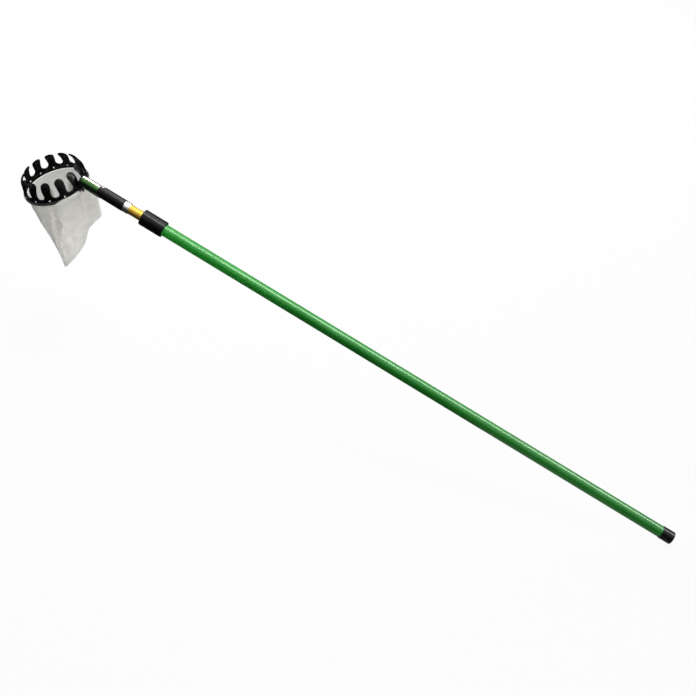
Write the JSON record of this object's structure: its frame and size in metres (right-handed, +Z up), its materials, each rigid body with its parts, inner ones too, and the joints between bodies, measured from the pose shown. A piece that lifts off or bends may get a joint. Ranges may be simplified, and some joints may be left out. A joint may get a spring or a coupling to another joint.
{
  "type": "telescopic fruit picker",
  "caption": "Telescopic fruit picker: a twist-lock pole whose head carries a crown of curved picking fingers over a hanging cloth bag that catches the fruit.",
  "frame": {"origin": "centre of the butt cap's end face", "axes": "+Z is up as the tool is held with the pole climbing 15 degrees, the head is towards -X, and the XZ plane is the plane of the pole and of the crown's axis"},
  "size_m": [1.5079, 0.1408, 0.3943],
  "materials": {
    "green_coat": "glossy powder coat",
    "black_plastic": "satin moulded plastic",
    "white_nylon": "natural nylon",
    "gold_tube": "gold lacquered tube",
    "silver_ring": "bright drawn",
    "green_lacquer": "green lacquer over bright metal",
    "steel": "zinc plated",
    "rim_strip": "satin grey plastic strip",
    "bag_cloth": "thin translucent woven cloth"
  },
  "bodies": {
    "outer": {"outer_tube": "green_coat", "butt_cap": "black_plastic", "guide_collar": "black_plastic", "guide_bush": "white_nylon"},
    "lock_shoe": {"expander_sleeve": "white_nylon"},
    "cone": {"cone_nut": "black_plastic"},
    "inner": {"inner_tube": "gold_tube", "ferrule_ring": "silver_ring", "tip_ferrule": "black_plastic", "spindle_plug": "black_plastic", "plug_pin": "steel", "lock_spindle": "steel", "spindle_stop": "black_plastic", "head_tube": "green_lacquer", "socket_bush": "black_plastic", "button_spring": "steel", "head_bracket": "black_plastic", "bracket_rivets": "white_nylon", "tube_screw": "steel", "crown": "black_plastic", "clamp_ring": "black_plastic", "rim_hoop": "rim_strip", "bag": "bag_cloth", "bag_rivets": "white_nylon"},
    "button": {"snap_button": "steel"}
  },
  "joints": [
    {"name": "pole_extend", "type": "slide", "parent": "outer", "child": "lock_shoe", "axis": [-0.9659, 0, 0.2588], "range_m": [0, 1]},
    {"name": "twist_lock", "type": "hinge", "parent": "lock_shoe", "child": "inner", "pos_m": [-0.02898, 0, 0.00777], "axis": [0.9659, 0, -0.2588], "range_deg": [0, 90]},
    {"name": "cone_draw", "type": "slide", "parent": "lock_shoe", "child": "cone", "axis": [-0.9659, 0, 0.2588], "range_m": [0, 0.0011]},
    {"name": "button_press", "type": "slide", "parent": "inner", "child": "button", "axis": [-0.24, -0.3746, -0.8956], "range_m": [0, 0.0052], "stiffness_N_per_m": 800, "springref_m": -0.004, "deforming": ["button_spring"]}
  ],
  "couplings": [
    {"joint": "cone_draw", "follows": "twist_lock", "m_per_rad": 0.00063662}
  ]
}
